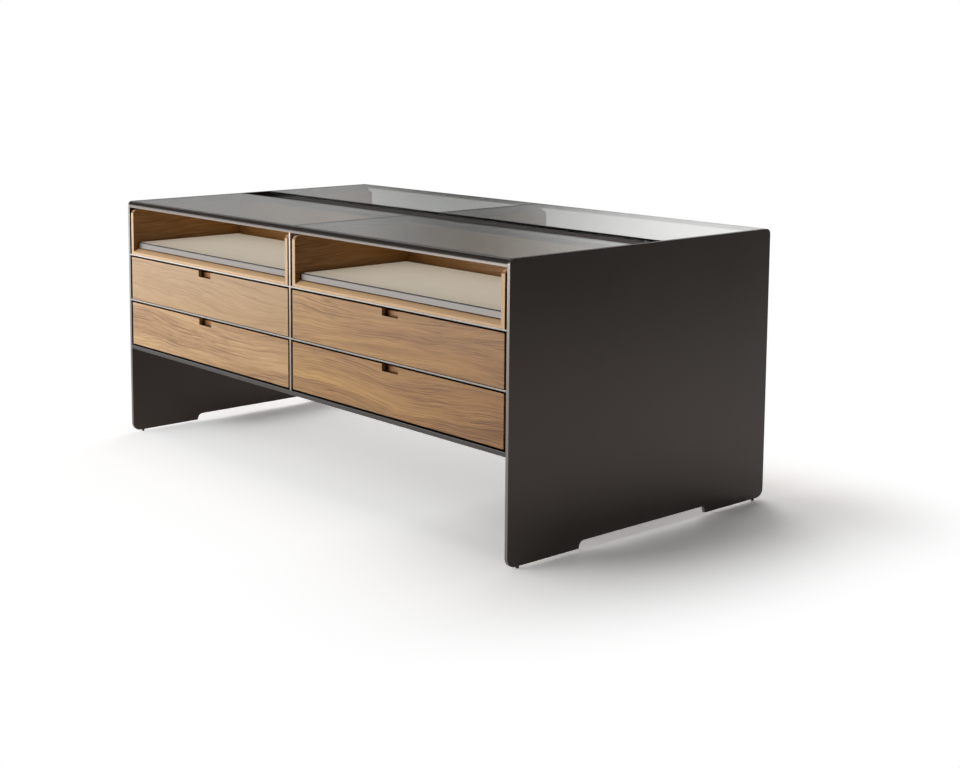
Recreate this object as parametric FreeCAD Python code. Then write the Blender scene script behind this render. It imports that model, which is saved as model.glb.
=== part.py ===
import FreeCAD, Part
import math
import os

# Closet island with drawers.  Two side panels run down to the floor and carry everything else:
# a base, a lengthwise spine, a divider on each side of the spine, two rounded top rails and a
# sunk channel between four glass panes.  Each of the four cells holds an open wooden niche with
# a pull-out tray, over two drawers.  +X is the long way, the front faces -Y, the rear half is
# the front half turned half a turn about Z.  The origin is on the floor, under the centre.

Vector = FreeCAD.Vector
os.makedirs("parts", exist_ok=True)

# ---------------------------------------------------------------- driving dimensions, mm

# side panels
case_depth = 1018.0
panel_thickness = 11.0
panel_top_corner = 15.0
panel_bottom_corner = 27.0
panel_edge_round = 1.5
foot_length = 257.0
foot_inner_corner = 2.0
recess_height = 20.0
recess_corner = 18.0

# levelling feet
leveller_gap = 6.0
leveller_inset = 40.0
glide_radius = 4.5
glide_edge_round = 1.0
stud_radius = 3.0
stud_length = 22.0
stud_clearance = 0.1

# heights of the stack between floor and glass
under_clearance = 283.5
base_thickness = 13.5
shadow_gap = 5.0
front_height = 141.0
rail_height = 5.0
front_to_rail_gap = 1.0
niche_height = 155.0
top_rail_height = 20.0

# cells
cell_width = 902.0
divider_thickness = 7.0
spine_thickness = 8.0
side_reveal = 8.0

# rails, base and top
rail_depth = 22.0
rail_edge_round = 0.8
base_edge_round = 2.0
top_rail_depth = 12.0
glass_ledge = 10.0
ledge_thickness = 2.0
glass_thickness = 8.0
glass_joint = 3.0
glass_edge_gap = 1.0
channel_width = 116.0
channel_depth = 14.0
channel_sheet = 2.0

# brackets under the base
bracket_leg = 30.0
bracket_sheet = 3.0
bracket_length = 60.0
bracket_spacing = 340.0

# niche boxes and their spacers
niche_setback = 1.0
niche_back_gap = 64.0
niche_wall = 13.0
niche_floor = 17.0
niche_lip_height = 8.0
niche_lip_depth = 20.0
niche_top_gap = 8.0
niche_corner = 15.0
spacer_height = 40.0
spacer_end_inset = 30.0

# trays
tray_setback = 17.0
tray_back_gap = 16.0
tray_side_gap = 10.0
tray_floor_gap = 3.0
tray_rim_height = 17.5
tray_rim = 3.0
tray_plate = 3.0
tray_edge_round = 0.8
pad_thickness = 11.0
pad_rise = 3.0
pad_gap = 1.0
pad_edge_round = 1.0
guide_height = 13.0
guide_wall = 3.0
guide_clearance = 0.6
guide_tray_gap = 1.0
guide_rise = 2.0

# drawers
front_setback = 1.0
front_thickness = 12.0
front_edge_round = 0.8
notch_width = 67.0
notch_height = 20.0
notch_corner = 2.0
box_back_gap = 44.0
box_lift = 8.0
box_drop = 7.0
box_wall = 12.0
box_floor = 8.0
finger_gap = 9.0
slide_thickness = 12.7
slide_front_gap = 4.0
slide_rear_gap = 6.0
slide_sheet = 1.5
slide_height = 45.0
slide_nest_gap = 1.7
slide_ball_gap = 4.0
slide_back_gap = 2.2

# ---------------------------------------------------------------- levels and lines

half_depth = case_depth / 2
front_y = -half_depth
inner_half = cell_width + divider_thickness / 2
half_width = inner_half + panel_thickness

panel_bottom_z = leveller_gap
base_z = panel_bottom_z + under_clearance
base_top_z = base_z + base_thickness
lower_front_z = base_top_z + shadow_gap
middle_rail_z = lower_front_z + front_height + shadow_gap
upper_front_z = middle_rail_z + rail_height + front_to_rail_gap
upper_rail_z = upper_front_z + front_height + shadow_gap
niche_z = upper_rail_z + rail_height
top_rail_z = niche_z + niche_height
top_z = top_rail_z + top_rail_height

glass_z = top_z - glass_thickness
channel_half = channel_width / 2
channel_bottom_z = top_z - channel_depth - channel_sheet
rail_back_y = front_y + top_rail_depth
ledge_back_y = rail_back_y + glass_ledge
flange_y = -channel_half - glass_ledge

spine_y = -spine_thickness / 2

row_levels = {"lower": lower_front_z, "upper": upper_front_z}
sides = {"left": -1, "right": 1}


# ---------------------------------------------------------------- helpers

def block(x_range, y_range, z_range):
    """Box between the low and high value of each axis."""
    low = Vector(x_range[0], y_range[0], z_range[0])
    return Part.makeBox(x_range[1] - low.x, y_range[1] - low.y, z_range[1] - low.z, low)


def outline(corners):
    """Closed wire in the XY plane through (x, y, radius) corners, each rounded by its radius."""
    joints = []
    for i, (x, y, radius) in enumerate(corners):
        here = Vector(x, y, 0)
        before = Vector(corners[i - 1][0], corners[i - 1][1], 0)
        after = Vector(corners[(i + 1) % len(corners)][0], corners[(i + 1) % len(corners)][1], 0)
        back = (before - here).normalize()
        ahead = (after - here).normalize()
        half_angle = back.getAngle(ahead) / 2
        reach = radius / math.tan(half_angle)
        bisector = (back + ahead).normalize() if radius else Vector(0, 0, 0)
        middle = here + bisector * (radius / math.sin(half_angle) - radius)
        joints.append((here + back * reach, middle, here + ahead * reach, radius))
    edges = []
    for i, (start, middle, end, radius) in enumerate(joints):
        if radius:
            edges.append(Part.Arc(start, middle, end).toShape())
        following = joints[(i + 1) % len(joints)][0]
        if (following - end).Length > 1e-6:
            edges.append(Part.LineSegment(end, following).toShape())
    return Part.Wire(edges)


def profile_along_x(corners, x_range):
    """Prism along X whose section is given by (y, z, radius) corners."""
    face = Part.Face(outline(corners))
    # XY plane to YZ plane: x becomes y, y becomes z
    face.Placement = FreeCAD.Placement(Vector(x_range[0], 0, 0), FreeCAD.Rotation(90, 0, 90))
    return face.extrude(Vector(x_range[1] - x_range[0], 0, 0))


def profile_along_y(corners, y_range):
    """Prism along Y whose section is given by (x, z, radius) corners."""
    face = Part.Face(outline(corners))
    # XY plane to XZ plane: y becomes z
    face.Placement = FreeCAD.Placement(Vector(0, y_range[0], 0), FreeCAD.Rotation(0, 0, 90))
    return face.extrude(Vector(0, y_range[1] - y_range[0], 0))


def soften(shape, radius, chosen):
    """Fillet the edges that the test function picks."""
    return shape.makeFillet(radius, [edge for edge in shape.Edges if chosen(edge)])


def on_plane(axis, value):
    """Test for edges lying wholly in the plane where the given axis has this value."""
    def chosen(edge):
        box = edge.BoundBox
        low = getattr(box, axis + "Min")
        high = getattr(box, axis + "Max")
        return abs(low - value) < 1e-4 and abs(high - value) < 1e-4
    return chosen


def half_turn(shape):
    """Copy of a front-half shape turned half a turn about Z, into the rear half."""
    turned = shape.copy()
    turned.rotate(Vector(0, 0, 0), Vector(0, 0, 1), 180)
    return turned


def save(name, shapes):
    """Write one node: a single solid, or a group of separate solids."""
    solids = [solid for shape in shapes for solid in shape.Solids]
    node = solids[0] if len(solids) == 1 else Part.makeCompound(solids)
    node.exportStep("parts/" + name + ".step")


def save_both_halves(name_start, name_end, shapes_of_side):
    """Write a front node per side and its half-turned rear twin on the opposite side."""
    for side in sides:
        other = "right" if side == "left" else "left"
        shapes = shapes_of_side(sides[side])
        save(f"{name_start}_front_{side}{name_end}", shapes)
        save(f"{name_start}_rear_{other}{name_end}", [half_turn(shape) for shape in shapes])


def cell_centre(side):
    return side * (divider_thickness + cell_width) / 2


def mirrored_pair(shape, centre_x):
    """The shape and its mirror image about the plane x = centre_x."""
    return [shape, shape.mirror(Vector(centre_x, 0, 0), Vector(1, 0, 0))]


# ---------------------------------------------------------------- side panels and feet

def side_panel(side):
    """Metal-skinned slab down to the floor, with a shallow recess that leaves two feet."""
    fillet = min(recess_corner, recess_height - foot_inner_corner)
    recess_z = panel_bottom_z + recess_height
    foot_y = half_depth - foot_length
    corners = [
        (-half_depth, panel_bottom_z, panel_bottom_corner),
        (-foot_y, panel_bottom_z, foot_inner_corner),
        (-foot_y, recess_z, fillet),
        (foot_y, recess_z, fillet),
        (foot_y, panel_bottom_z, foot_inner_corner),
        (half_depth, panel_bottom_z, panel_bottom_corner),
        (half_depth, top_z, panel_top_corner),
        (-half_depth, top_z, panel_top_corner),
    ]
    x_range = sorted((side * inner_half, side * half_width))
    panel = profile_along_x(corners, x_range)
    panel = soften(panel, panel_edge_round, on_plane("X", x_range[0]))
    panel = soften(panel, panel_edge_round, on_plane("X", x_range[1]))
    for centre in leveller_centres(side):
        hole = Part.makeCylinder(stud_radius + stud_clearance, stud_length + stud_clearance, centre)
        panel = panel.cut(hole)
    return panel


def leveller_centres(side):
    x = side * (half_width - panel_thickness / 2)
    y = half_depth - leveller_inset
    return [Vector(x, -y, panel_bottom_z), Vector(x, y, panel_bottom_z)]


def levelling_foot(centre):
    """Round glide on a threaded stud that screws up into the panel's lower edge."""
    glide = Part.makeCylinder(glide_radius, leveller_gap, Vector(centre.x, centre.y, 0))
    glide = soften(glide, glide_edge_round, on_plane("Z", 0))
    stud = Part.makeCylinder(stud_radius, stud_length, centre)
    return glide.fuse(stud).removeSplitter()


for name, sign in sides.items():
    save("side_panel_" + name, [side_panel(sign)])
save("levelling_feet", [levelling_foot(centre) for sign in sides.values()
                        for centre in leveller_centres(sign)])


# ---------------------------------------------------------------- base, spine and dividers

def base_rail():
    """Metal edge rail of the base, its outer arrises eased."""
    rail = block((-inner_half, inner_half), (front_y, front_y + rail_depth), (base_z, base_top_z))
    return soften(rail, base_edge_round, lambda edge: on_plane("Y", front_y)(edge)
                  and edge.Length > base_thickness + 1)


def base_panel():
    inset = half_depth - rail_depth
    return block((-inner_half, inner_half), (-inset, inset), (base_z, base_top_z))


def base_bracket(y):
    """Angle bracket in the corner under the base, against the right-hand panel."""
    low_x = inner_half - bracket_leg
    y_range = (y - bracket_length / 2, y + bracket_length / 2)
    corners = [
        (inner_half, base_z, 0),
        (low_x, base_z, 0),
        (low_x, base_z - bracket_sheet, 0),
        (inner_half - bracket_sheet, base_z - bracket_sheet, 0),
        (inner_half - bracket_sheet, base_z - bracket_leg, 0),
        (inner_half, base_z - bracket_leg, 0),
    ]
    return profile_along_y(corners, y_range)


def spine_panel():
    """Upright board along the middle that parts the front half from the rear half."""
    return block((-inner_half, inner_half), (spine_y, -spine_y), (base_top_z, channel_bottom_z))


def divider():
    """Thin upright sheet between the two cells of a half, stepped under rail and channel."""
    corners = [
        (front_y, base_top_z, 0),
        (spine_y, base_top_z, 0),
        (spine_y, channel_bottom_z, 0),
        (flange_y, channel_bottom_z, 0),
        (flange_y, glass_z, 0),
        (ledge_back_y, glass_z, 0),
        (ledge_back_y, top_rail_z, 0),
        (front_y, top_rail_z, 0),
    ]
    half = divider_thickness / 2
    sheet = profile_along_x(corners, (-half, half))
    return soften(sheet, rail_edge_round, lambda edge: on_plane("Y", front_y)(edge)
                  and edge.Length > divider_thickness + 1)


brackets = []
for bracket_y in (-bracket_spacing, 0, bracket_spacing):
    brackets += mirrored_pair(base_bracket(bracket_y), 0)

save("base_rail_front", [base_rail()])
save("base_rail_rear", [half_turn(base_rail())])
save("base_panel", [base_panel()])
save("base_brackets", brackets)
save("spine_panel", [spine_panel()])
save("divider_front", [divider()])
save("divider_rear", [half_turn(divider())])


# ---------------------------------------------------------------- cross rails

def cross_rail(side, z):
    """Thin metal rail across one cell, from side panel to divider."""
    x = cell_centre(side)
    rail = block((x - cell_width / 2, x + cell_width / 2), (front_y, front_y + rail_depth),
                 (z, z + rail_height))
    return soften(rail, rail_edge_round, lambda edge: on_plane("Y", front_y)(edge)
                  and edge.Length > rail_height + 1)


cross_rails = [cross_rail(sign, z) for sign in sides.values()
               for z in (middle_rail_z, upper_rail_z)]
save("cross_rails_front", cross_rails)
save("cross_rails_rear", [half_turn(rail) for rail in cross_rails])


# ---------------------------------------------------------------- top: rails, channel, glass

def top_rail():
    """Rail between the side panels, its face swept round to the top, ledged for the glass."""
    # arc with an upright tangent at the lower edge, through the rear edge of the top
    radius = (top_rail_height ** 2 + top_rail_depth ** 2) / (2 * top_rail_depth)
    round_bar = Part.makeCylinder(radius, 2 * inner_half, Vector(-inner_half, front_y + radius, top_rail_z),
                                  Vector(1, 0, 0))
    x_range = (-inner_half, inner_half)
    nose = block(x_range, (front_y, rail_back_y), (top_rail_z, top_z)).common(round_bar)
    ledge = block(x_range, (rail_back_y, ledge_back_y), (glass_z - ledge_thickness, glass_z))
    return nose.fuse(ledge).removeSplitter()


def top_channel():
    """Sunk sheet-metal channel along the middle, flanged on both sides to carry the glass."""
    floor_z = top_z - channel_depth
    flange_z = glass_z - channel_sheet
    wall_y = channel_half + channel_sheet
    half_section = [
        (wall_y, channel_bottom_z, 0),
        (wall_y, flange_z, 0),
        (-flange_y, flange_z, 0),
        (-flange_y, glass_z, 0),
        (channel_half, glass_z, 0),
        (channel_half, floor_z, 0),
    ]
    other_half = [(-y, z, radius) for y, z, radius in reversed(half_section)]
    return profile_along_x(half_section + other_half, (-inner_half, inner_half))


def glass_pane(side):
    x_range = sorted((side * glass_joint / 2, side * (inner_half - glass_edge_gap)))
    y_range = (rail_back_y + glass_edge_gap, -channel_half)
    return [block(x_range, y_range, (glass_z, top_z))]


save("top_rail_front", [top_rail()])
save("top_rail_rear", [half_turn(top_rail())])
save("top_channel", [top_channel()])
save_both_halves("glass_pane", "", glass_pane)


# ---------------------------------------------------------------- niche boxes

niche_front_y = front_y + niche_setback
niche_top_z = top_rail_z - niche_top_gap
niche_half = cell_width / 2 - side_reveal
niche_inner_half = niche_half - niche_wall
niche_end_y = spine_y - niche_back_gap
niche_back_y = niche_end_y - niche_wall


def niche_box(side):
    """Open-fronted, open-topped wooden box: rounded front top corners, floor bevelled to a lip."""
    x = cell_centre(side)
    outer = block((x - niche_half, x + niche_half),
                  (niche_front_y, niche_end_y), (niche_z, niche_top_z))
    hollow = block((x - niche_inner_half, x + niche_inner_half), (niche_front_y - 1, niche_back_y),
                   (niche_z + niche_floor, niche_top_z + 1))
    floor_top_z = niche_z + niche_floor
    lip_slope = (niche_floor - niche_lip_height) / niche_lip_depth
    bevel = profile_along_x([
        (niche_front_y - 1, niche_z + niche_lip_height - lip_slope, 0),
        (niche_front_y + niche_lip_depth, floor_top_z, 0),
        (niche_front_y + niche_lip_depth, floor_top_z + 1, 0),
        (niche_front_y - 1, floor_top_z + 1, 0),
    ], (x - niche_inner_half, x + niche_inner_half))
    box = outer.cut(hollow).cut(bevel)

    def front_top(edge):
        return on_plane("Y", niche_front_y)(edge) and on_plane("Z", niche_top_z)(edge)
    return [soften(box, niche_corner, front_top)]


def niche_spacers(side):
    """Strips that fill the reveal between a niche box and the metal on either side."""
    x = cell_centre(side)
    middle_z = (niche_z + niche_top_z) / 2
    strip = block((x - cell_width / 2, x - niche_half),
                  (niche_front_y + spacer_end_inset, niche_end_y - spacer_end_inset),
                  (middle_z - spacer_height / 2, middle_z + spacer_height / 2))
    return mirrored_pair(strip, x)


save_both_halves("niche_box", "", niche_box)
spacers = niche_spacers(-1) + niche_spacers(1)
save("niche_spacers", spacers + [half_turn(strip) for strip in spacers])


# ---------------------------------------------------------------- pull-out trays

tray_front_y = front_y + tray_setback
tray_end_y = niche_back_y - tray_back_gap
tray_half = niche_inner_half - tray_side_gap
tray_z = niche_z + niche_floor + tray_floor_gap
rim_top_z = tray_z + tray_rim_height
pad_top_z = rim_top_z + pad_rise
pad_z = pad_top_z - pad_thickness
guide_z = tray_z + guide_rise
groove_height = guide_height - 2 * guide_wall


def tray_frame(side):
    """Aluminium rim and plate; a tongue along each side runs in the guides."""
    x = cell_centre(side)
    y_range = (tray_front_y, tray_end_y)
    frame = block((x - tray_half, x + tray_half), y_range, (tray_z, rim_top_z))
    frame = soften(frame, tray_edge_round, lambda edge: on_plane("Y", tray_front_y)(edge)
                   and edge.Length > tray_rim_height + 1)
    inner = tray_half - tray_rim
    inner_y = (y_range[0] + tray_rim, y_range[1] - tray_rim)
    frame = frame.cut(block((x - inner, x + inner), inner_y, (pad_z, rim_top_z + 1)))
    frame = frame.cut(block((x - inner, x + inner), inner_y, (tray_z - 1, pad_z - tray_plate)))
    tongue_low = guide_z + guide_wall + guide_clearance
    tongue_high = guide_z + guide_height - guide_wall - guide_clearance
    tongue_x = (x - niche_inner_half + guide_wall + guide_clearance, x - tray_half)
    tongue = block(tongue_x, inner_y, (tongue_low, tongue_high))
    return [frame.fuse(mirrored_pair(tongue, x)).removeSplitter()]


def tray_pad(side):
    """Leather-covered pad lying in the tray, standing a little proud of its rim."""
    x = cell_centre(side)
    half = tray_half - tray_rim - pad_gap
    inset = tray_rim + pad_gap
    pad = block((x - half, x + half), (tray_front_y + inset, tray_end_y - inset), (pad_z, pad_top_z))
    return [soften(pad, pad_edge_round, on_plane("Z", pad_top_z))]


def tray_guides(side):
    """Grooved guide on each side wall of the niche."""
    x = cell_centre(side)
    wall_x = x - niche_inner_half
    lip_x = x - tray_half - guide_tray_gap
    low = guide_z
    high = guide_z + guide_height
    corners = [
        (wall_x, low, 0),
        (lip_x, low, 0),
        (lip_x, low + guide_wall, 0),
        (wall_x + guide_wall, low + guide_wall, 0),
        (wall_x + guide_wall, high - guide_wall, 0),
        (lip_x, high - guide_wall, 0),
        (lip_x, high, 0),
        (wall_x, high, 0),
    ]
    y_range = (tray_front_y + tray_rim, tray_end_y - tray_rim)
    return mirrored_pair(profile_along_y(corners, y_range), x)


save_both_halves("tray_frame", "", tray_frame)
save_both_halves("tray_pad", "", tray_pad)


# ---------------------------------------------------------------- drawers and their slides

front_face_y = front_y + front_setback
front_back_y = front_face_y + front_thickness
front_half = cell_width / 2 - side_reveal
box_half = cell_width / 2 - slide_thickness
box_height = front_height - box_lift - box_drop
box_end_y = spine_y - box_back_gap
slide_range_y = (front_back_y + slide_front_gap, box_end_y - slide_rear_gap)
member_height = slide_height - 2 * slide_sheet - 2 * slide_ball_gap


def drawer_front(side, z):
    """Solid oak front with a notch in its top edge that serves as the pull."""
    x = cell_centre(side)
    top = z + front_height
    notch_half = notch_width / 2
    corners = [
        (x - front_half, z, 0),
        (x + front_half, z, 0),
        (x + front_half, top, 0),
        (x + notch_half, top, 0),
        (x + notch_half, top - notch_height, notch_corner),
        (x - notch_half, top - notch_height, notch_corner),
        (x - notch_half, top, 0),
        (x - front_half, top, 0),
    ]
    front = profile_along_y(corners, (front_face_y, front_back_y))
    return soften(front, front_edge_round, on_plane("Y", front_face_y))


def drawer_box(side, z):
    """Wooden box behind the front; its inner front wall stands back to leave finger room."""
    x = cell_centre(side)
    low_z = z + box_lift
    top = low_z + box_height
    box = block((x - box_half, x + box_half), (front_back_y, box_end_y), (low_z, top))
    inside_x = (x - box_half + box_wall, x + box_half - box_wall)
    inside_z = (low_z + box_floor, top + 1)
    finger_room = block(inside_x, (front_back_y - 1, front_back_y + finger_gap), inside_z)
    inside_y = (front_back_y + finger_gap + box_wall, box_end_y - box_wall)
    return box.cut(finger_room).cut(block(inside_x, inside_y, inside_z))


def slide_level(z):
    return z + box_lift + box_height / 2


def channel_profile(back_x, lip_x, z, height):
    """C-shaped sheet section, open towards lip_x, centred on level z, for profile_along_y."""
    inward = math.copysign(slide_sheet, lip_x - back_x)
    low = z - height / 2
    high = z + height / 2
    return [
        (back_x, low, 0),
        (lip_x, low, 0),
        (lip_x, low + slide_sheet, 0),
        (back_x + inward, low + slide_sheet, 0),
        (back_x + inward, high - slide_sheet, 0),
        (lip_x, high - slide_sheet, 0),
        (lip_x, high, 0),
        (back_x, high, 0),
    ]


def drawer_slides(side, z):
    """Inner slide members, screwed to the two sides of the drawer box."""
    x = cell_centre(side)
    member = channel_profile(x - box_half, x - cell_width / 2 + slide_sheet + slide_back_gap,
                             slide_level(z), member_height)
    return mirrored_pair(profile_along_y(member, slide_range_y), x)


def case_slides(side):
    """Fixed members of one cell: two slides per drawer and the two tray guides."""
    x = cell_centre(side)
    members = []
    for z in row_levels.values():
        section = channel_profile(x - cell_width / 2, x - box_half - slide_nest_gap,
                                  slide_level(z), slide_height)
        members += mirrored_pair(profile_along_y(section, slide_range_y), x)
    return members + tray_guides(side)


for row, level in row_levels.items():
    save_both_halves("drawer_front", "_" + row, lambda side: [drawer_front(side, level)])
    save_both_halves("drawer_box", "_" + row, lambda side: [drawer_box(side, level)])
    save_both_halves("drawer_slides", "_" + row, lambda side: drawer_slides(side, level))
save_both_halves("case_slides", "", case_slides)

print(f"overall {2 * half_width:.1f} x {case_depth:.1f} x {top_z:.1f} mm")
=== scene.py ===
import math

import bmesh
import bpy
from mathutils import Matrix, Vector


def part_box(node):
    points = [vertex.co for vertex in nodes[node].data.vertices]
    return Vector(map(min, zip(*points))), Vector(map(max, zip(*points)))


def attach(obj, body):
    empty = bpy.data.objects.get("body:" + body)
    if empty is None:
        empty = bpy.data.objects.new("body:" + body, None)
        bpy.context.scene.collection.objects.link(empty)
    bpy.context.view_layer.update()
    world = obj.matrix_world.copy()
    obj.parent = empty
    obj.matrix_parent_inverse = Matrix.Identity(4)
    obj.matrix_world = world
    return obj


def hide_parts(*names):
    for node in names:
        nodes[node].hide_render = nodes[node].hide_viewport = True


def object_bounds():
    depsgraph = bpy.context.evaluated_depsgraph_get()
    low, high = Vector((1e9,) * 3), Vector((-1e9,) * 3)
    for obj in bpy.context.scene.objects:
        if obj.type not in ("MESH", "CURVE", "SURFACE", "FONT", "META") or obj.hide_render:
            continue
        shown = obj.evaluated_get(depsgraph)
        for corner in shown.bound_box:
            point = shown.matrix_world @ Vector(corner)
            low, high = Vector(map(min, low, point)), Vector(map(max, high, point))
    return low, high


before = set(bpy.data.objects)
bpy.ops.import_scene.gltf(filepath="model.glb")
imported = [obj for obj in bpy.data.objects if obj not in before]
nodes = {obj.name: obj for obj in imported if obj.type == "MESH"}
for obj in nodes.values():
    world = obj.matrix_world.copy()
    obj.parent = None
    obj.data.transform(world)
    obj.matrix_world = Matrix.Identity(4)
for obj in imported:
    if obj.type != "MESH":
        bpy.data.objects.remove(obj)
cad_low, cad_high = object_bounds()


# ---------------------------------------------------------------- side panels
# Two upright aluminium slabs that run down to the floor and carry the whole island.  They are
# cut to outline, bead-blasted and anodised dark bronze: the dyed skin darkens and warms what it
# mirrors, with a soft sheen and a very fine blasted grain.

def linear(hex_colour):
    """sRGB hex colour as linear red, green, blue and alpha."""
    channels = [int(hex_colour[i:i + 2], 16) / 255 for i in (1, 3, 5)]
    straight = [c / 12.92 if c <= 0.04045 else ((c + 0.055) / 1.055) ** 2.4 for c in channels]
    return (*straight, 1.0)


def add(tree, kind, settings=(), inputs=()):
    """Adds one shader node with its settings, and links or sets its inputs."""
    made = tree.nodes.new("ShaderNode" + kind)
    for name, value in dict(settings).items():
        setattr(made, name, value)
    for name, value in dict(inputs).items():
        if isinstance(value, bpy.types.NodeSocket):
            tree.links.new(value, made.inputs[name])
        else:
            made.inputs[name].default_value = value
    return made


def blank_material(name):
    """A material with an empty node tree, and that tree."""
    material = bpy.data.materials.new(name)
    material.use_nodes = True
    material.node_tree.nodes.clear()
    return material, material.node_tree


def coat(material, tree, inputs):
    """Closes a material with one Principled shader."""
    shader = add(tree, "BsdfPrincipled", {}, inputs)
    add(tree, "OutputMaterial", {}, {"Surface": shader.outputs[0]})
    return material


def per_metre(size_mm):
    """Noise scale whose features are about this many millimetres apart."""
    return 1000 / size_mm


def dress(names, material):
    """Puts a material in every slot of the named CAD nodes."""
    for name in names:
        for material_slot in nodes[name].material_slots:
            material_slot.material = material


def where(material, source, axis, low, high):
    """Mask from 0 to 1 as the size of a coordinate, or of a part of the normal, goes low to high."""
    tree = material.node_tree
    parts = add(tree, "SeparateXYZ", {}, {0: add(tree, "TexCoord").outputs[source]})
    size = add(tree, "Math", {"operation": "ABSOLUTE"}, {0: parts.outputs[axis]})
    mask = add(tree, "MapRange", {}, {"Value": size.outputs[0], "From Min": low, "From Max": high})
    return mask.outputs["Result"]


def tone_over(material, mask, colour, blend="MIX"):
    """Lays another colour over a material's own one, or multiplies it in, where the mask is 1."""
    tree = material.node_tree
    shader = tree.nodes["Principled BSDF"]
    own = shader.inputs["Base Color"].links[0].from_socket
    mixed = add(tree, "Mix", {"data_type": "RGBA", "blend_type": blend}, {
        0: mask,
        6: own,
        7: linear(colour),
    })
    tree.links.new(mixed.outputs[2], shader.inputs["Base Color"])


def bronze_anodising(name, tones, roughness):
    """Dyed anodic skin over blasted aluminium: mostly metallic, faint clouding, fine grain."""
    material, tree = blank_material(name)
    place = add(tree, "TexCoord").outputs["Object"]
    cloud = add(tree, "TexNoise", {}, {"Vector": place, "Scale": per_metre(260), "Detail": 2.0})
    # blasting grit leaves dimples of a tenth of a millimetre, drawn at 1.6 mm so that they show
    blasted = add(tree, "TexNoise", {}, {"Vector": place, "Scale": per_metre(1.6), "Detail": 2.0})
    shade = add(tree, "Mix", {"data_type": "RGBA"}, {
        0: cloud.outputs["Fac"],
        6: linear(tones[0]),
        7: linear(tones[1]),
    })
    unevenness = 0.03
    gloss = add(tree, "MapRange", {}, {
        "Value": cloud.outputs["Fac"],
        "To Min": roughness - unevenness,
        "To Max": roughness + unevenness,
    })
    relief = add(tree, "Bump", {}, {
        "Height": blasted.outputs["Fac"],
        "Strength": 0.05,
        "Distance": 0.0002,
    })
    return coat(material, tree, {
        "Base Color": shade.outputs[2],
        "Metallic": 0.75,
        "Roughness": gloss.outputs["Result"],
        "Normal": relief.outputs["Normal"],
    })


panel_bronze = bronze_anodising("dark_bronze_anodised_panel", ("#3a332e", "#413934"), 0.30)
# painted highlight: faces turned to the front and back are lightened, and the top and bottom
# faces more, for the bright lines along the edges; a face counts as turned along an axis as its
# normal's part along it goes from 0.6 to 0.9
turned_from, turned_to = 0.6, 0.9
tone_over(panel_bronze, where(panel_bronze, "Normal", "Y", turned_from, turned_to), "#76706b")
tone_over(panel_bronze, where(panel_bronze, "Normal", "Z", turned_from, turned_to), "#a09a94")
dress(["side_panel_left", "side_panel_right"], panel_bronze)


# ---------------------------------------------------------------- levelling feet
# Four small glides on steel studs, screwed up into the panels' lower edges.  The glides are
# moulded in black nylon.

def moulded_nylon():
    """Moulded nylon: a matt black skin with a slight sparkle."""
    material, tree = blank_material("black_moulded_nylon")
    place = add(tree, "TexCoord").outputs["Object"]
    grain = add(tree, "TexNoise", {}, {"Vector": place, "Scale": per_metre(0.8), "Detail": 2.0})
    shade = add(tree, "Mix", {"data_type": "RGBA"}, {
        0: grain.outputs["Fac"],
        6: linear("#111111"),
        7: linear("#1c1b1a"),
    })
    relief = add(tree, "Bump", {}, {
        "Height": grain.outputs["Fac"],
        "Strength": 0.15,
        "Distance": 0.0002,
    })
    return coat(material, tree, {
        "Base Color": shade.outputs[2],
        "Roughness": 0.5,
        "Normal": relief.outputs["Normal"],
        "IOR": 1.53,
    })


dress(["levelling_feet"], moulded_nylon())


# ---------------------------------------------------------------- base, spine and fixings
# The base and the upright spine are boards with a dark melamine skin; pressed steel angles,
# zinc plated, fasten the base to the side panels from below.

def dark_melamine():
    """Melamine skin: matt and dark, with a barely visible mottling."""
    material, tree = blank_material("dark_melamine_board")
    place = add(tree, "TexCoord").outputs["Object"]
    mottle = add(tree, "TexNoise", {}, {"Vector": place, "Scale": per_metre(9), "Detail": 4.0})
    shade = add(tree, "Mix", {"data_type": "RGBA"}, {
        0: mottle.outputs["Fac"],
        6: linear("#242120"),
        7: linear("#2e2a28"),
    })
    relief = add(tree, "Bump", {}, {
        "Height": mottle.outputs["Fac"],
        "Strength": 0.08,
        "Distance": 0.0004,
    })
    return coat(material, tree, {
        "Base Color": shade.outputs[2],
        "Roughness": 0.55,
        "Normal": relief.outputs["Normal"],
        "IOR": 1.5,
    })


def passivated_zinc(name, tones):
    """Zinc over pressed steel, sealed clear or black: crystalline patches that differ in gloss."""
    material, tree = blank_material(name)
    place = add(tree, "TexCoord").outputs["Object"]
    spangle = add(tree, "TexVoronoi", {}, {"Vector": place, "Scale": per_metre(4)})
    gloss = add(tree, "MapRange", {}, {
        "Value": spangle.outputs["Distance"],
        "To Min": 0.28,
        "To Max": 0.42,
    })
    shade = add(tree, "Mix", {"data_type": "RGBA"}, {
        0: spangle.outputs["Distance"],
        6: linear(tones[0]),
        7: linear(tones[1]),
    })
    return coat(material, tree, {
        "Base Color": shade.outputs[2],
        "Metallic": 1.0,
        "Roughness": gloss.outputs["Result"],
    })


melamine = dark_melamine()
dress(["base_panel", "spine_panel"], melamine)
dress(["base_brackets"], passivated_zinc("clear_passivated_zinc", ("#b4b6b8", "#a5a8ab")))


# ---------------------------------------------------------------- dividers and rails
# Thin dividers and cross rails are flat aluminium bar, anodised bronze and toned paler than the
# panels, a painted highlight, so that their narrow faces show as bright lines against the shadow
# gaps.  The base's edge rails are bar too, toned nearly as dark as the panels: painted shade.

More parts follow.
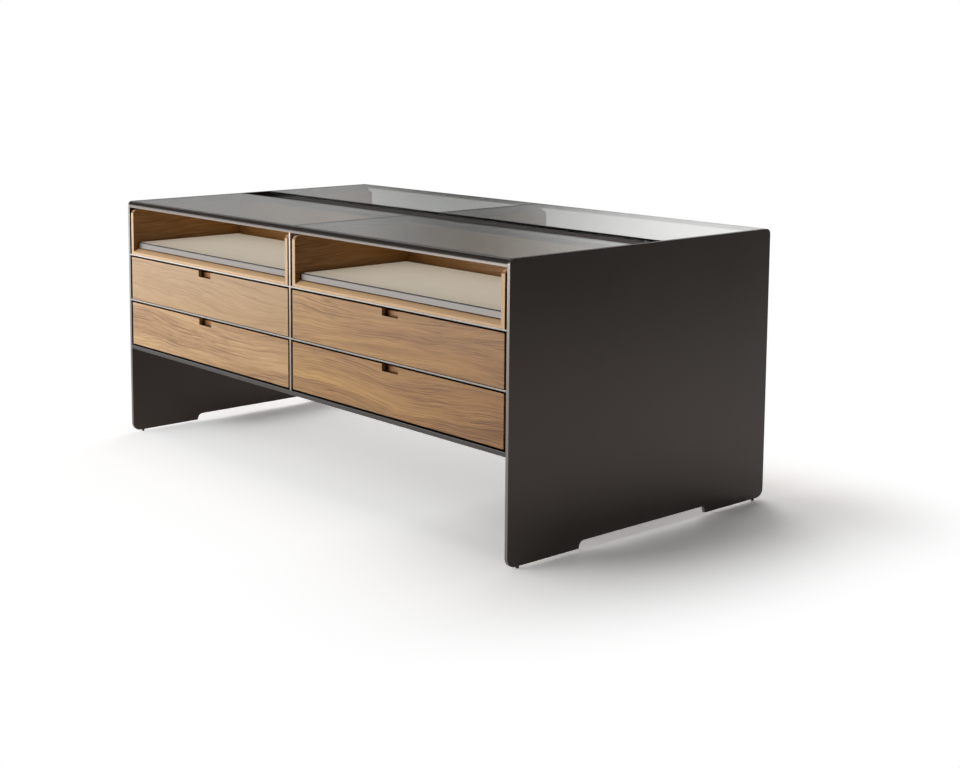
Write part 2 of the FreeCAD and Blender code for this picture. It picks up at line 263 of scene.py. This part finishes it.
rail_bronze_painted_highlight = bronze_anodising("bronze_bar_painted_highlight", ("#918b85", "#98928c"), 0.22)
base_bronze_painted_shade = bronze_anodising("bronze_base_rail_painted_shade", ("#464341", "#4e4a48"), 0.24)
dress(["divider_front", "divider_rear", "cross_rails_front", "cross_rails_rear"], rail_bronze_painted_highlight)
dress(["base_rail_front", "base_rail_rear"], base_bronze_painted_shade)


# ---------------------------------------------------------------- top rails and channel
# Extruded rails swept round to the top close the front and rear edges, and a folded sheet
# channel runs along the middle.  A painted highlight, a fine bright line, runs along the rails'
# arris, beside the glass.

top_bronze = bronze_anodising("dark_bronze_anodised_top_rail", ("#5a5450", "#625c57"), 0.24)
top_height = cad_high.z
# painted highlight: the rails are lightened from 3.5 mm below their top upwards
highlight_low, highlight_high = top_height - 0.0035, top_height - 0.0020
tone_over(top_bronze, where(top_bronze, "Object", "Z", highlight_low, highlight_high), "#d6d1cb")
dress(["top_rail_front", "top_rail_rear"], top_bronze)
# the channel takes the base rails' dark tone, with its painted shade
dress(["top_channel"], base_bronze_painted_shade)


# ---------------------------------------------------------------- glass panes
# Four panes of toughened float glass with ground ends, laid flush between rails and channel.
# Lamps shine through them, so the niches below stay lit.

def float_glass():
    """Clear float glass: a faint grey-green body, mirror-smooth, dark only where it is ground."""
    material, tree = blank_material("toughened_float_glass")
    place = add(tree, "TexCoord").outputs["Object"]
    # roller wave from toughening: crests a third of a metre apart, hundredths of a millimetre deep
    wave = add(tree, "TexNoise", {}, {"Vector": place, "Scale": per_metre(300), "Detail": 1.0})
    relief = add(tree, "Bump", {}, {
        "Height": wave.outputs["Fac"],
        "Strength": 0.02,
        "Distance": 0.001,
    })
    glass = add(tree, "BsdfPrincipled", {}, {
        "Base Color": linear("#d4d6d0"),
        "Roughness": 0.0,
        "IOR": 1.52,
        "Transmission Weight": 1.0,
        "Normal": relief.outputs["Normal"],
    })
    through = add(tree, "BsdfTransparent", {}, {"Color": linear("#f5f5f3")})
    ray = add(tree, "LightPath")
    mixed = add(tree, "MixShader", {}, {
        0: ray.outputs["Is Shadow Ray"],
        1: glass.outputs[0],
        2: through.outputs[0],
    })
    # the ends are ground, so the joint between two panes looks dark beside the smooth faces
    ground = add(tree, "BsdfPrincipled", {}, {"Base Color": linear("#2c322e"), "Roughness": 0.6})
    edge = where(material, "Normal", "X", turned_from, turned_to)
    whole = add(tree, "MixShader", {}, {0: edge, 1: mixed.outputs[0], 2: ground.outputs[0]})
    add(tree, "OutputMaterial", {}, {"Surface": whole.outputs[0]})
    return material


cells = ["front_left", "front_right", "rear_left", "rear_right"]
dress(["glass_pane_" + cell for cell in cells], float_glass())


# ---------------------------------------------------------------- oak niches
# Each cell has an open box of oak, glued up from planed boards with the grain running round it.
# Oiled oak has a low sheen; slow-grown rings wander along the boards, with darker late wood and
# short pores.

def oak(name, tone, lines, strength=1.0):
    """Oiled flat-sawn oak.  Grain runs along X, and along Y on faces that look along X."""
    material, tree = blank_material(name)
    coords = add(tree, "TexCoord")
    place = add(tree, "SeparateXYZ", {}, {0: coords.outputs["Object"]})
    facing = add(tree, "SeparateXYZ", {}, {0: coords.outputs["Normal"]})
    sideways = add(tree, "Math", {"operation": "ABSOLUTE"}, {0: facing.outputs["X"]})
    mostly = 0.7
    turn = add(tree, "Math", {"operation": "GREATER_THAN"}, {0: sideways.outputs[0], 1: mostly})
    along = add(tree, "Mix", {"data_type": "FLOAT"}, {
        0: turn.outputs[0],
        2: place.outputs["X"],
        3: place.outputs["Y"],
    }).outputs[0]
    across = add(tree, "Mix", {"data_type": "FLOAT"}, {
        0: turn.outputs[0],
        2: place.outputs["Y"],
        3: place.outputs["X"],
    }).outputs[0]
    # how deep in the log a point lies: boards are sawn at a slant to the rings
    slant = 0.8
    depth = add(tree, "Math", {"operation": "MULTIPLY_ADD"}, {
        0: across,
        1: slant,
        2: place.outputs["Z"],
    }).outputs[0]
    board = add(tree, "CombineXYZ", {}, {"X": along, "Y": depth, "Z": across}).outputs[0]

    # the rings rise and fall slowly along the board, with a tighter ripple on top: waves per metre
    # each way, octaves of noise, height in metres
    swell = ((1.5, 4.2, 2.0), 1.0, 0.13)
    ripple = ((9.0, 24.0, 6.0), 2.0, 0.012)
    ring = depth
    for waves_per_metre, detail, height in (swell, ripple):
        waves = add(tree, "Mapping", {}, {"Vector": board, "Scale": waves_per_metre})
        wave = add(tree, "TexNoise", {}, {"Vector": waves.outputs[0], "Scale": 1.0, "Detail": detail})
        ring = add(tree, "Math", {"operation": "MULTIPLY_ADD"}, {
            0: wave.outputs["Fac"],
            1: height,
            2: ring,
        }).outputs[0]
    flow = add(tree, "CombineXYZ", {}, {"X": along, "Y": ring}).outputs[0]

    # stretches of the board, half a metre long and some nine centimetres deep, are calm, and
    # others strongly figured
    stretches = add(tree, "Mapping", {}, {"Vector": flow, "Scale": (1.8, 11.0, 1.0)})
    patch = add(tree, "TexNoise", {}, {"Vector": stretches.outputs[0], "Scale": 1.0, "Detail": 1.0})
    figured = add(tree, "MapRange", {}, {
        "Value": patch.outputs["Fac"],
        "From Min": 0.40,
        "From Max": 0.62,
        "To Min": 0.65,
        "To Max": 1.45,
    }).outputs["Result"]

    # broad bands of tone, then growth rings, then fibres: each follows the flow of the rings, and
    # only the broad bands run on through the calm stretches
    broad_mm = 10
    shade = linear(tone)
    for size_mm, stretch, low, high, share, deep in lines:
        lengthwise = add(tree, "Mapping", {}, {
            "Vector": flow,
            "Scale": (stretch, per_metre(size_mm), 1.0),
        })
        band = add(tree, "TexNoise", {}, {"Vector": lengthwise.outputs[0], "Scale": 1.0, "Detail": 2.0})
        amount = add(tree, "MapRange", {"interpolation_type": "SMOOTHSTEP"}, {
            "Value": band.outputs["Fac"],
            "From Min": low,
            "From Max": high,
            "To Max": share * strength,
        })
        line = amount.outputs["Result"]
        if size_mm < broad_mm:
            line = add(tree, "Math", {"operation": "MULTIPLY"}, {0: line, 1: figured}).outputs[0]
        mixed = add(tree, "Mix", {"data_type": "RGBA"}, {0: line, 6: shade, 7: linear(deep)})
        shade = mixed.outputs[2]
    relief = add(tree, "Bump", {}, {"Height": line, "Strength": 0.15, "Distance": 0.0006})
    return coat(material, tree, {
        "Base Color": shade,
        "Roughness": 0.34,
        "Normal": relief.outputs["Normal"],
        "IOR": 1.45,
    })


grain = [
    # size across the grain in mm, features per metre along it, noise range, share, colour
    (75, 0.8, 0.35, 0.65, 0.45, "#966a38"),
    (20, 1.1, 0.50, 0.64, 0.35, "#8a5f2c"),
    (4.6, 1.6, 0.57, 0.66, 0.58, "#774816"),
    (2.5, 4.0, 0.50, 0.66, 0.62, "#774b1c"),
    (1.6, 13.0, 0.42, 0.72, 0.65, "#7d5427"),
]
# the niches' oak is toned darker than the fronts: painted shade for the shade inside the niches
niche_oak_painted_light = oak("oiled_oak_niche_painted_light", "#a06f3c", grain, 2.1)
# painted light: the floor's bevelled lip, which starts 20 mm behind the niche's front, is
# lightened as if lit from the front, and the front edges all round carry a painted highlight
niche_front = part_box("niche_box_rear_left")[1].y
lip_low, lip_high = niche_front - 0.0205, niche_front - 0.0195
flat_from, flat_to = 0.5, 0.8
edge_low, edge_high = niche_front - 0.0020, niche_front - 0.0002
lip = add(niche_oak_painted_light.node_tree, "Math", {"operation": "MULTIPLY"}, {
    0: where(niche_oak_painted_light, "Object", "Y", lip_low, lip_high),
    1: where(niche_oak_painted_light, "Normal", "Z", flat_from, flat_to),
})
tone_over(niche_oak_painted_light, lip.outputs[0], "#e6bd90")
tone_over(niche_oak_painted_light, where(niche_oak_painted_light, "Object", "Y", edge_low, edge_high), "#c9a274")
dress(["niche_box_" + cell for cell in cells], niche_oak_painted_light)
# the spacers between the niches and the metal are cut from the same board as the base
dress(["niche_spacers"], melamine)


# ---------------------------------------------------------------- pull-out trays
# A shallow aluminium tray slides in each niche: a folded rim and plate, anodised pale champagne,
# with a leather-covered pad dropped inside it.

def champagne_anodising():
    """Pale anodising over fine brushing: satin, with faint streaks, drawn 1.2 mm apart to show."""
    material, tree = blank_material("champagne_anodised_aluminium")
    place = add(tree, "TexCoord").outputs["Object"]
    streaks_per_metre = 12.0
    brushed = add(tree, "Mapping", {}, {
        "Vector": place,
        "Scale": (streaks_per_metre, streaks_per_metre, per_metre(1.2)),
    })
    streak = add(tree, "TexNoise", {}, {"Vector": brushed.outputs[0], "Scale": 1.0, "Detail": 3.0})
    shade = add(tree, "Mix", {"data_type": "RGBA"}, {
        0: streak.outputs["Fac"],
        6: linear("#6a6663"),
        7: linear("#777370"),
    })
    gloss = add(tree, "MapRange", {}, {
        "Value": streak.outputs["Fac"],
        "To Min": 0.36,
        "To Max": 0.46,
    })
    return coat(material, tree, {
        "Base Color": shade.outputs[2],
        "Metallic": 1.0,
        "Roughness": gloss.outputs["Result"],
    })


def beige_leather():
    """Smooth dyed cowhide: a fine pebble grain, drawn at 2.5 mm so that it shows."""
    material, tree = blank_material("beige_cowhide")
    place = add(tree, "TexCoord").outputs["Object"]
    pebble = add(tree, "TexVoronoi", {"feature": "F1"}, {"Vector": place, "Scale": per_metre(2.5)})
    cloud = add(tree, "TexNoise", {}, {"Vector": place, "Scale": per_metre(70), "Detail": 4.0})
    hide = add(tree, "Mix", {"data_type": "RGBA"}, {
        0: cloud.outputs["Fac"],
        6: linear("#f6e9d8"),
        7: linear("#efe1d1"),
    })
    crease = add(tree, "MapRange", {}, {
        "Value": pebble.outputs["Distance"],
        "From Min": 0.3,
        "From Max": 0.8,
        "To Max": 0.12,
    })
    shade = add(tree, "Mix", {"data_type": "RGBA"}, {
        0: crease.outputs["Result"],
        6: hide.outputs[2],
        7: linear("#a89b86"),
    })
    relief = add(tree, "Bump", {"invert": True}, {
        "Height": pebble.outputs["Distance"],
        "Strength": 0.25,
        "Distance": 0.0004,
    })
    return coat(material, tree, {
        "Base Color": shade.outputs[2],
        "Roughness": 0.52,
        "Normal": relief.outputs["Normal"],
        "IOR": 1.48,
    })


def tray_pad(cell, leather):
    """Thin pad: a board faced with leather, with its arris eased and its upright sides dark."""
    low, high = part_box("tray_pad_" + cell)
    arris = 0.001
    arris_steps = 5
    corner = 0.004
    corner_steps = 6
    # how far in and how high each ring of points lies: the lower edge, then up round the arris
    rings = [(0.0, low.z)]
    for i in range(arris_steps + 1):
        turn = math.pi / 2 * i / arris_steps
        rings.append((arris * (1 - math.cos(turn)), high.z - arris * (1 - math.sin(turn))))
    mesh = bmesh.new()
    loops = []
    for inset, height in rings:
        loop = []
        for sx, sy, start in ((1, -1, -90), (1, 1, 0), (-1, 1, 90), (-1, -1, 180)):
            centre_x = high.x - corner if sx > 0 else low.x + corner
            centre_y = high.y - corner if sy > 0 else low.y + corner
            reach = corner - inset
            for i in range(corner_steps + 1):
                angle = math.radians(start + 90 * i / corner_steps)
                x = centre_x + reach * math.cos(angle)
                y = centre_y + reach * math.sin(angle)
                loop.append(mesh.verts.new((x, y, height)))
        loops.append(loop)
    count = len(loops[0])
    for lower, upper in zip(loops, loops[1:]):
        for i in range(count):
            j = (i + 1) % count
            mesh.faces.new((lower[i], lower[j], upper[j], upper[i]))
    mesh.faces.new(loops[-1])
    mesh.faces.new(reversed(loops[0]))
    data = bpy.data.meshes.new("leather_pad_" + cell)
    mesh.to_mesh(data)
    mesh.free()
    facing_up = 0.999
    for face in data.polygons:
        face.use_smooth = face.normal.z < facing_up
    pad = bpy.data.objects.new("leather_pad_" + cell, data)
    bpy.context.scene.collection.objects.link(pad)
    data.materials.append(leather)
    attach(pad, "tray_" + cell)
    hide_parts("tray_pad_" + cell)


dress(["tray_frame_" + cell for cell in cells], champagne_anodising())
leather = beige_leather()
# the pad's sides are coloured dark where they stand upright
upright_from, upright_to = 0.8, 0.4
tone_over(leather, where(leather, "Normal", "Z", upright_from, upright_to), "#2a2320")
for cell in cells:
    tray_pad(cell, leather)


# ---------------------------------------------------------------- drawers
# Two drawers per cell: an oak front with a finger notch in its top edge, an oak box behind it,
# and pressed steel slides, black so that the gaps beside the fronts stay dark.

rows = ["lower", "upper"]
# boards differ a little in tone and in how strongly they are figured
front_oak = oak("oiled_oak_front", "#c19557", grain, 1.2)
pale_oak = oak("oiled_oak_front_pale_board", "#c49e6d", grain, 1.1)
calm_oak = oak("oiled_oak_front_quiet_board", "#b28f63", grain, 0.5)
# painted shade: the fronts darken from the middle towards both side panels, as the light falls off there
falloff_from, falloff_to = 0.10, 0.85
tone_over(front_oak, where(front_oak, "Object", "X", falloff_from, falloff_to), "#e5d9ce", "MULTIPLY")
# painted shade: the fronts' top and bottom edges are coloured dark, so the gaps beside them stay dark
for board in (front_oak, pale_oak, calm_oak):
    tone_over(board, where(board, "Normal", "Z", turned_from, turned_to), "#120c08")
drawers = [f"{cell}_{row}" for cell in cells for row in rows]
dress(["drawer_front_" + drawer for drawer in drawers], front_oak)
dress(["drawer_front_front_left_lower", "drawer_front_rear_right_lower"], pale_oak)
dress(["drawer_front_front_left_upper", "drawer_front_rear_right_upper"], calm_oak)
box_oak = oak("oiled_oak_box", "#b27f54", grain, 0.8)
dress(["drawer_box_" + drawer for drawer in drawers], box_oak)
black_zinc = passivated_zinc("black_passivated_zinc", ("#26272a", "#1e1f22"))
dress(["drawer_slides_" + drawer for drawer in drawers], black_zinc)
dress(["case_slides_" + cell for cell in cells], black_zinc)


# ---------------------------------------------------------------- studio
# A pale floor that runs out to white, soft lamps at the left and the front, where the light is
# strongest, two behind and one overhead, and a camera at chest height off the front right corner.

def floor():
    """The studio floor: white paint that keeps the object's shadow and runs out to plain white."""
    half_size = 30.0
    mesh = bmesh.new()
    for sx, sy in ((-1, -1), (1, -1), (1, 1), (-1, 1)):
        mesh.verts.new((sx * half_size, sy * half_size, 0))
    mesh.faces.new(mesh.verts)
    data = bpy.data.meshes.new("studio_floor")
    mesh.to_mesh(data)
    mesh.free()
    plane = bpy.data.objects.new("studio_floor", data)
    bpy.context.scene.collection.objects.link(plane)
    material, tree = blank_material("studio_floor_paint")
    ray = add(tree, "LightPath")
    straight = add(tree, "Math", {"operation": "MAXIMUM"}, {
        0: ray.outputs["Is Camera Ray"],
        1: ray.outputs["Is Transmission Ray"],
    })
    seen_ray = add(tree, "Math", {"operation": "MAXIMUM"}, {
        0: straight.outputs[0],
        1: ray.outputs["Is Glossy Ray"],
    })
    # the paint throws a plain light grey's light on the object, and is itself seen as white
    thrown = (0.8, 0.8, 0.8, 1)
    seen = (1.61, 1.58, 1.565, 1)
    lit = add(tree, "Mix", {"data_type": "RGBA"}, {0: seen_ray.outputs[0], 6: thrown, 7: seen})
    paint = add(tree, "BsdfDiffuse", {}, {"Color": lit.outputs[2]})
    # away from the deepest shadow, at the object's right, the paint runs out to white: each side
    # has its own pace, so the shadow under and behind the object stays.  For each axis: where the
    # deepest shadow starts and ends, the pace before and after it, and the most before it
    uncapped = 9.0
    shadow_sides = (
        ("X", 0.9165, 0.994, 0.77, 1.516, 0.39),
        ("Y", 0.002, 0.495, 0.724, 1.751, uncapped),
    )
    place = add(tree, "SeparateXYZ", {}, {0: add(tree, "TexCoord").outputs["Object"]})
    beyond = []
    for axis, low, high, low_pace, high_pace, most in shadow_sides:
        before = add(tree, "Math", {"operation": "SUBTRACT"}, {0: low, 1: place.outputs[axis]})
        after = add(tree, "Math", {"operation": "SUBTRACT"}, {0: place.outputs[axis], 1: high})
        rising = add(tree, "Math", {"operation": "MULTIPLY"}, {0: before.outputs[0], 1: low_pace})
        slow = add(tree, "Math", {"operation": "MINIMUM"}, {0: rising.outputs[0], 1: most})
        quick = add(tree, "Math", {"operation": "MULTIPLY"}, {0: after.outputs[0], 1: high_pace})
        either = add(tree, "Math", {"operation": "MAXIMUM"}, {0: slow.outputs[0], 1: quick.outputs[0]})
        outside = add(tree, "Math", {"operation": "MAXIMUM"}, {0: either.outputs[0], 1: 0.0})
        square = add(tree, "Math", {"operation": "POWER"}, {0: outside.outputs[0], 1: 2.0})
        beyond.append(square.outputs[0])
    squares = add(tree, "Math", {"operation": "ADD"}, {0: beyond[0], 1: beyond[1]})
    distance = add(tree, "Math", {"operation": "SQRT"}, {0: squares.outputs[0]})
    # past the left panel it is white within about a third of a metre
    left_open = add(tree, "MapRange", {}, {
        "Value": place.outputs["X"],
        "From Min": -1.0,
        "From Max": -1.35,
    })
    away = add(tree, "Math", {"operation": "ADD"}, {
        0: distance.outputs[0],
        1: left_open.outputs["Result"],
    })
    fade = add(tree, "MapRange", {"interpolation_type": "SMOOTHSTEP"}, {
        "Value": away.outputs[0],
        "From Min": 0.087,
        "From Max": 0.909,
    })
    # close round the left panel's foot the run-out holds back, so the panel's own shadow shows:
    # where that starts and where it is full, on each side of the foot
    foot_sides = (
        ("X", -0.66, -0.84),
        ("X", -1.10, -0.98),
        ("Y", -0.30, -0.05),
        ("Y", 0.80, 0.55),
    )
    held_back = 0.9
    foot = 1.0
    for axis, far, near in foot_sides:
        close = add(tree, "MapRange", {"interpolation_type": "SMOOTHSTEP"}, {
            "Value": place.outputs[axis],
            "From Min": far,
            "From Max": near,
        })
        foot = add(tree, "Math", {"operation": "MULTIPLY"}, {
            0: foot,
            1: close.outputs["Result"],
        }).outputs[0]
    open_floor = add(tree, "Math", {"operation": "MULTIPLY_ADD"}, {0: foot, 1: -held_back, 2: 1.0})
    run_out = add(tree, "Math", {"operation": "MULTIPLY"}, {0: fade.outputs[0], 1: open_floor.outputs[0]})
    share = add(tree, "Math", {"operation": "MULTIPLY"}, {0: run_out.outputs[0], 1: seen_ray.outputs[0]})
    # gloss sees the sweep grow darker far to the right
    sweep = add(tree, "MapRange", {"interpolation_type": "SMOOTHSTEP"}, {
        "Value": place.outputs["X"],
        "From Min": 2.1,
        "From Max": 4.2,
        "To Max": 0.75,
    })
    dimmed = add(tree, "Math", {"operation": "MULTIPLY"}, {
        0: sweep.outputs[0],
        1: ray.outputs["Is Glossy Ray"],
    })
    glow = add(tree, "Math", {"operation": "SUBTRACT"}, {0: 1.0, 1: dimmed.outputs[0]})
    white = add(tree, "Emission", {}, {"Color": (1, 1, 1, 1), "Strength": glow.outputs[0]})
    ground = add(tree, "MixShader", {}, {
        0: share.outputs[0],
        1: paint.outputs[0],
        2: white.outputs[0],
    })
    add(tree, "OutputMaterial", {}, {"Surface": ground.outputs[0]})
    data.materials.append(material)


# seen from behind, the panes would mirror the front lamps as white sheets, so the lamps leave
# out the panes themselves; their light still passes through to the niches
panes_left_out = bpy.data.collections.new("panes_left_out")
for cell in cells:
    panes_left_out.objects.link(nodes["glass_pane_" + cell])
for member in panes_left_out.collection_objects:
    member.light_linking.link_state = "EXCLUDE"


def soft_lamp(name, at, aim, size, watts, mirrored=True):
    """A rectangular softbox at a point, aimed at another; unless mirrored, gloss doesn't see it."""
    data = bpy.data.lights.new(name, "AREA")
    data.shape = "RECTANGLE"
    data.size, data.size_y = size
    data.energy = watts
    lamp = bpy.data.objects.new(name, data)
    lamp.visible_glossy = mirrored
    lamp.visible_transmission = mirrored
    lamp.light_linking.receiver_collection = panes_left_out
    lamp.location = at
    lamp.rotation_euler = (Vector(aim) - Vector(at)).to_track_quat("-Z", "Y").to_euler()
    bpy.context.scene.collection.objects.link(lamp)


floor()
centre = (0, 0, 0.5)
soft_lamp("left_softbox", (-3.0, -2.3, 0.8), (0, 0, 0.45), (2.0, 1.6), 27)
soft_lamp("front_left_softbox", (-1.8, -4.5, 1.0), centre, (3.0, 2.0), 92)
soft_lamp("front_softbox", (-1.2, -4.3, 1.2), centre, (3.0, 2.0), 33)
soft_lamp("front_high_softbox", (0.3, -3.4, 3.0), (0, 0, 0.4), (3.0, 2.0), 18)
soft_lamp("rear_high_softbox", (-2.6, 2.6, 2.6), centre, (2.5, 2.5), 47, mirrored=False)
soft_lamp("rear_low_softbox", (-0.9, 2.6, 0.5), (-0.2, 0, 0.1), (2.6, 1.0), 70, mirrored=False)
soft_lamp("top_softbox", (0, 0, 3.4), (0, 0, 0), (3.0, 3.0), 31, mirrored=False)

world = bpy.data.worlds.new("studio_world")
world.use_nodes = True
sky = world.node_tree
sky.nodes.clear()
ray = add(sky, "LightPath")
direction = add(sky, "SeparateXYZ", {}, {0: add(sky, "TexCoord").outputs["Generated"]})
# gloss sees a low band of grey flats under a dark ceiling: mid grey to the left, a dark gap,
# then a white one behind the far right
left_flat = add(sky, "MapRange", {"interpolation_type": "SMOOTHSTEP"}, {
    "Value": direction.outputs["Y"],
    "From Min": 0.60,
    "From Max": 0.67,
    "To Min": 0.40,
    "To Max": 0.10,
})
right_flat = add(sky, "MapRange", {"interpolation_type": "SMOOTHSTEP"}, {
    "Value": direction.outputs["Y"],
    "From Min": 0.67,
    "From Max": 0.78,
    "To Min": 0.0,
    "To Max": 1.15,
})
flats = add(sky, "Math", {"operation": "ADD"}, {
    0: left_flat.outputs["Result"],
    1: right_flat.outputs["Result"],
})
low_down = add(sky, "MapRange", {"interpolation_type": "SMOOTHSTEP"}, {
    "Value": direction.outputs["Z"],
    "From Min": 0.14,
    "From Max": 0.30,
    "To Min": 1.0,
    "To Max": 0.10,
})
surroundings = add(sky, "Math", {"operation": "MULTIPLY"}, {
    0: flats.outputs[0],
    1: low_down.outputs["Result"],
})
fill = add(sky, "Background", {}, {"Strength": 0.03})
mirrored = add(sky, "Background", {}, {"Strength": surroundings.outputs[0]})
backdrop = add(sky, "Background", {}, {"Color": (1, 1, 1, 1), "Strength": 1.0})
lit = add(sky, "MixShader", {}, {
    0: ray.outputs["Is Glossy Ray"],
    1: fill.outputs[0],
    2: mirrored.outputs[0],
})
clear_rays = add(sky, "Math", {"operation": "MAXIMUM"}, {
    0: ray.outputs["Is Camera Ray"],
    1: ray.outputs["Is Transmission Ray"],
})
# what the camera sees, straight or through glass, is the plain white backdrop
seen = add(sky, "MixShader", {}, {
    0: clear_rays.outputs[0],
    1: lit.outputs[0],
    2: backdrop.outputs[0],
})
add(sky, "OutputWorld", {}, {"Surface": seen.outputs[0]})
bpy.context.scene.world = world

camera_data = bpy.data.cameras.new("studio_camera")
camera_data.sensor_width = 36.0
camera_data.lens = 59.34
camera_data.shift_x = 0.1068
camera_data.shift_y = -0.1531
camera = bpy.data.objects.new("studio_camera", camera_data)
camera.location = (3.6754, -3.1587, 1.3109)
down, turned = 7.03, 51.0
camera.rotation_euler = (math.radians(90 - down), 0, math.radians(turned))
bpy.context.scene.collection.objects.link(camera)
bpy.context.scene.camera = camera
bpy.context.scene.view_settings.view_transform = "Standard"
